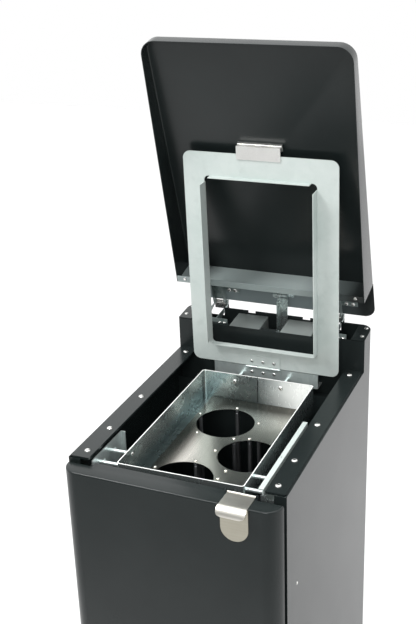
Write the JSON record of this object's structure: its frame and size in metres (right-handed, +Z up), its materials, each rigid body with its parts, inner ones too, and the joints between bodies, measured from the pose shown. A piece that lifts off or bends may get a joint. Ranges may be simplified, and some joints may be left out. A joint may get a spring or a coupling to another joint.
{
  "type": "waste and cup collecting station",
  "caption": "Narrow black steel waste station with front door, wedge lid, bag clamping ring, tray with round cup holes and a foot pedal lift.",
  "frame": {"origin": "on the floor, under the middle of the cabinet's footprint", "axes": "+X to the right seen from the front, +Y to the rear, +Z up; the door faces -Y"},
  "size_m": [0.401, 0.6782, 1.5101],
  "materials": {
    "black_paint": "satin black powder coat",
    "dark_paint": "matt black paint",
    "zinc_plate": "zinc coated sheet with a soft spangle",
    "stainless": "brushed stainless steel",
    "rivet_steel": "polished steel",
    "rod_grey": "satin grey",
    "black_plastic": "moulded black plastic"
  },
  "bodies": {
    "cabinet": {"left_side_panel": "black_paint", "right_side_panel": "black_paint", "rear_panel": "black_paint", "base_pan": "black_paint", "plinth_front": "dark_paint", "floor_plate": "black_paint", "left_rail": "black_paint", "right_rail": "black_paint", "rail_rivets": "rivet_steel", "tower_front_wall": "black_paint", "left_tower_post": "black_paint", "right_tower_post": "black_paint", "left_tower_cap": "black_paint", "right_tower_cap": "black_paint", "tower_rivets": "rivet_steel", "left_cover": "black_paint", "right_cover": "black_paint", "rear_partition": "black_paint", "left_lid_bracket": "zinc_plate", "right_lid_bracket": "zinc_plate", "lid_hinge_pins": "zinc_plate", "bracket_screws": "zinc_plate", "rear_crossbar": "zinc_plate", "ring_lower_leaf": "zinc_plate", "ring_hinge_pin": "zinc_plate", "leaf_rivets": "zinc_plate", "left_tray_bracket": "zinc_plate", "right_tray_bracket": "zinc_plate", "spacers": "zinc_plate", "tray_screws": "zinc_plate", "bag_tray": "zinc_plate", "cup_plate": "stainless", "cup_plate_screws": "stainless", "guide_rods": "rod_grey", "cup_floor": "zinc_plate", "drip_pan": "black_plastic", "door_hinge_plates": "zinc_plate", "door_keeper": "zinc_plate", "side_screw": "rivet_steel", "pedal_bracket": "dark_paint", "pedal_pin": "zinc_plate"},
    "lid": {"lid_shell": "black_paint", "lid_rear_wall": "black_paint", "left_lid_arm": "zinc_plate", "right_lid_arm": "zinc_plate", "lid_lug": "zinc_plate", "lid_catch": "stainless", "lid_screws": "zinc_plate", "lift_pin": "zinc_plate"},
    "lift_bar": {"lift_bar": "zinc_plate"},
    "clamp_ring": {"clamp_ring": "zinc_plate", "ring_upper_leaf": "zinc_plate", "ring_grip": "stainless", "ring_rivets": "zinc_plate"},
    "door": {"door_shell": "black_paint", "door_liner": "dark_paint", "badge_plate": "stainless"},
    "latch": {"latch_plate": "stainless"},
    "pedal": {"pedal_lever": "dark_paint", "pedal_pad": "black_plastic"}
  },
  "joints": [
    {"name": "lid_hinge", "type": "hinge", "parent": "cabinet", "child": "lid", "pos_m": [0, 0.2989, 0.925], "axis": [1, 0, 0], "range_deg": [0, 77]},
    {"name": "lift_bar_pivot", "type": "hinge", "parent": "lid", "child": "lift_bar", "pos_m": [0.011, 0.26651, 0.96884], "axis": [1, 0, 0], "range_deg": [-78, 1]},
    {"name": "ring_hinge", "type": "hinge", "parent": "cabinet", "child": "clamp_ring", "pos_m": [0, 0.179, 0.841], "axis": [1, 0, 0], "range_deg": [0, 88.5]},
    {"name": "pedal_pivot", "type": "hinge", "parent": "cabinet", "child": "pedal", "pos_m": [0, -0.125, 0.05], "axis": [1, 0, 0], "range_deg": [-10, 0.5]},
    {"name": "door_hinge", "type": "hinge", "parent": "cabinet", "child": "door", "pos_m": [-0.193, -0.286, 0.45], "axis": [0, 0, -1], "range_deg": [-1.5, 100]},
    {"name": "latch_lift", "type": "hinge", "parent": "door", "child": "latch", "pos_m": [0.12426, -0.2803, 0.842], "axis": [-0.9997, 0.0262, 0], "range_deg": [0, 10]}
  ],
  "couplings": [
    {"joint": "lift_bar_pivot", "follows": "lid_hinge", "ratio": -1},
    {"joint": "ring_hinge", "follows": "lid_hinge", "ratio": 1.1429},
    {"joint": "pedal_pivot", "follows": "lid_hinge", "ratio": -0.12727}
  ]
}
